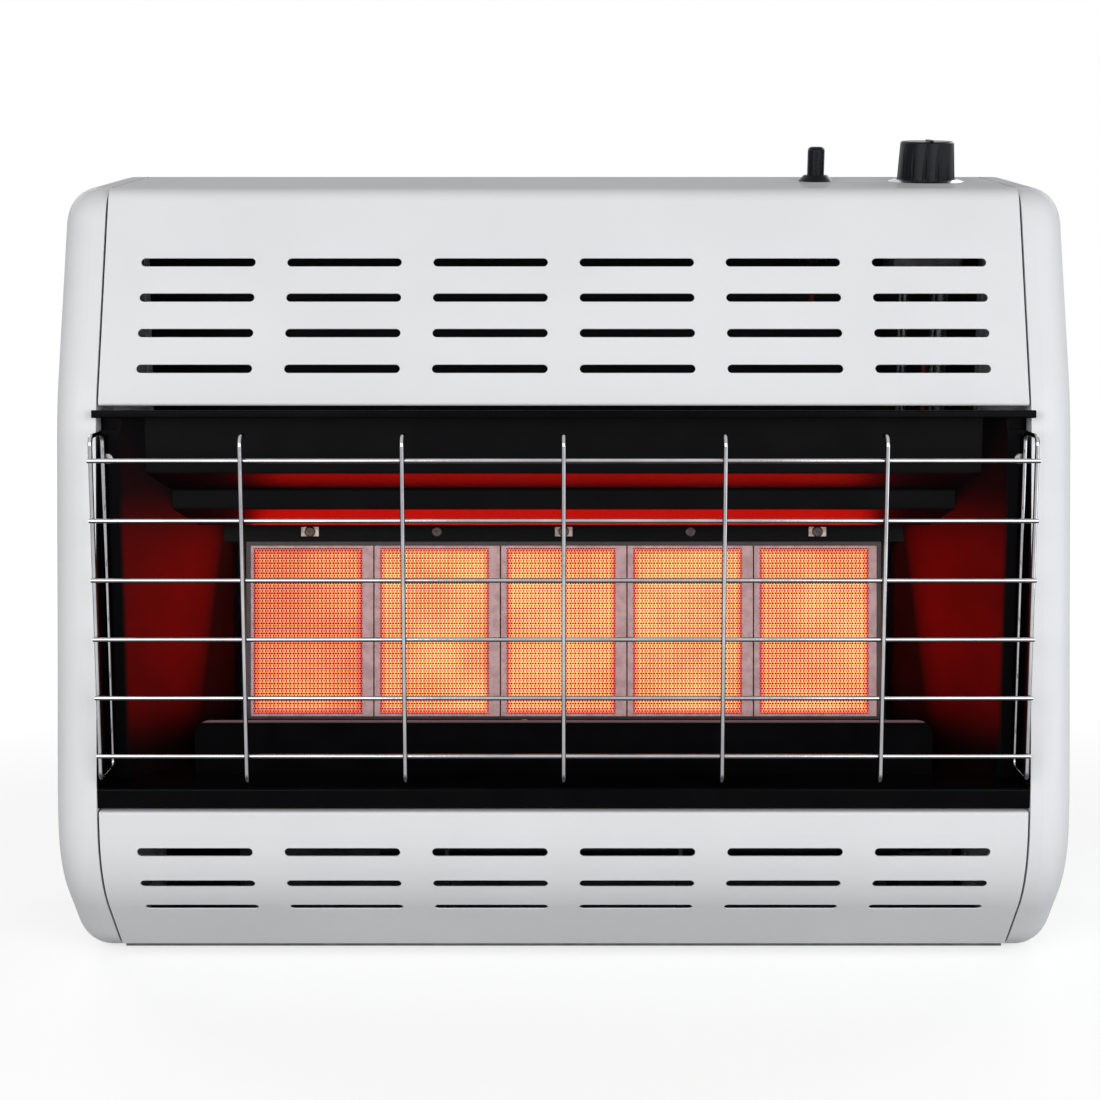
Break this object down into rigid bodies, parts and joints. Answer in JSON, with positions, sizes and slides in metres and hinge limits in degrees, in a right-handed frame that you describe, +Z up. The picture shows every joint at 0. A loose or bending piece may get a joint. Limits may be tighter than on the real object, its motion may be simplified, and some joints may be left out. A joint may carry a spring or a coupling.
{
  "type": "radiant gas heater",
  "caption": "Wall or floor standing radiant gas heater with a louvred white casing, glowing ceramic plaques, a pull-off wire guard, a gas knob and a push igniter.",
  "frame": {"origin": "middle of the bounding box, on the underside of the base", "axes": "+X to the heater's own right seen from the front, +Y to the wall, +Z up; the guard faces -Y"},
  "size_m": [0.73, 0.2538, 0.6083],
  "materials": {
    "casing_white": "gloss stove enamel",
    "firebox_black": "gloss heat-proof enamel",
    "galvanised_steel": "galvanised",
    "burner_steel": "heat-darkened steel",
    "screw_steel": "plated",
    "ceramic": "perforated, glowing",
    "gasket_fibre": "ceramic fibre",
    "guard_chrome": "bright plated wire",
    "black_plastic": "satin",
    "bezel_metal": "polished",
    "brass": "turned",
    "cast_alloy": "die cast",
    "tube_alloy": "drawn",
    "lead_rubber": "silicone sleeve",
    "electrode_ceramic": "glazed"
  },
  "bodies": {
    "casing": {"right_side_panel": "casing_white", "left_side_panel": "casing_white", "upper_front_panel": "casing_white", "lower_front_panel": "casing_white", "heat_hood": "firebox_black", "hood_trim": "firebox_black", "right_reflector": "firebox_black", "left_reflector": "firebox_black", "firebox_floor": "firebox_black", "burner_baffle": "firebox_black", "rear_panel": "galvanised_steel", "base_pan": "galvanised_steel", "rear_heat_shield": "galvanised_steel", "burner_plenum": "galvanised_steel", "right_burner_bracket": "galvanised_steel", "left_burner_bracket": "galvanised_steel", "left_venturi_tube": "galvanised_steel", "right_venturi_tube": "galvanised_steel", "orifice_manifold": "galvanised_steel", "manifold_hangers": "galvanised_steel", "valve_bracket": "galvanised_steel", "regulator_bracket": "galvanised_steel", "pilot_bracket": "galvanised_steel", "burner_face_frame": "burner_steel", "burner_clips": "burner_steel", "burner_screws": "screw_steel", "casing_screws": "screw_steel", "flange_screws": "screw_steel", "flange_nuts": "screw_steel", "pilot_burner": "screw_steel", "thermocouple": "screw_steel", "ceramic_plaque_1": "ceramic", "ceramic_plaque_2": "ceramic", "ceramic_plaque_3": "ceramic", "ceramic_plaque_4": "ceramic", "ceramic_plaque_5": "ceramic", "plaque_gasket": "gasket_fibre", "igniter_bezel": "black_plastic", "igniter_body": "black_plastic", "igniter_nut": "black_plastic", "knob_bezel": "bezel_metal", "burner_orifices": "brass", "tube_nuts": "brass", "gas_valve_body": "cast_alloy", "gas_regulator": "cast_alloy", "inlet_tube": "tube_alloy", "burner_supply_tube": "tube_alloy", "pilot_tube": "tube_alloy", "igniter_lead": "lead_rubber", "spark_electrode": "electrode_ceramic"},
    "guard": {"guard_uprights": "guard_chrome", "guard_cross_wires": "guard_chrome", "guard_end_loops": "guard_chrome"},
    "knob_carrier": {"thrust_washer": "screw_steel"},
    "knob": {"control_knob": "black_plastic", "valve_stem": "screw_steel"},
    "igniter_button": {"igniter_button": "black_plastic"}
  },
  "joints": [
    {"name": "guard_pull", "type": "slide", "parent": "casing", "child": "guard", "axis": [0, -1, 0], "range_m": [0, 0.06]},
    {"name": "knob_push", "type": "slide", "parent": "casing", "child": "knob_carrier", "axis": [0, 0.1063, -0.9943], "range_m": [0, 0.003], "stiffness_N_per_m": 800, "springref_m": -0.003},
    {"name": "knob_turn", "type": "hinge", "parent": "knob_carrier", "child": "knob", "pos_m": [0.279, 0.0711, 0.57623], "axis": [0, -0.1063, 0.9943], "range_deg": [0, 180]},
    {"name": "igniter_push", "type": "slide", "parent": "casing", "child": "igniter_button", "axis": [0, 0.1063, -0.9943], "range_m": [0, 0.007], "stiffness_N_per_m": 600, "springref_m": -0.003}
  ]
}
